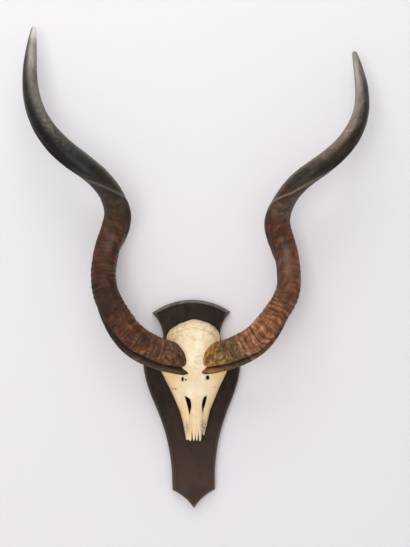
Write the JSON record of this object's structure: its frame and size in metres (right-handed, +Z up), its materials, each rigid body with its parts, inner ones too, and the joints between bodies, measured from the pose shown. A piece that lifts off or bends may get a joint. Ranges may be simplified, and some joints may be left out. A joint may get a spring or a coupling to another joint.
{
  "type": "kudu horn wall trophy",
  "caption": "Spiral kudu horns on a cut skull, fixed to a dark wooden shield that hangs flat on a wall.",
  "frame": {"origin": "on the shield's flat back, on its centre line, at its widest height; the back lies in the wall plane y = 0", "axes": "+Z up, +Y into the wall, the trophy faces -Y, +X to the viewer's right"},
  "size_m": [0.849, 0.1689, 1.2067],
  "materials": {
    "stained_wood": "very dark brown stain, satin, fine upright grain",
    "bone": "dry ivory bone, matt, with warm yellow and brown stains",
    "horn": "ridged red-brown keratin below, smooth satin grey-brown above",
    "plate_steel": "zinc-plated sheet",
    "screw_steel": "zinc-plated screws"
  },
  "bodies": {
    "root": {"shield": "stained_wood", "skull": "bone", "horn_left": "horn", "horn_right": "horn", "hanger_plate": "plate_steel", "hanger_screw_left": "screw_steel", "hanger_screw_right": "screw_steel", "skull_screw_upper": "screw_steel", "skull_screw_lower": "screw_steel"}
  },
  "joints": []
}
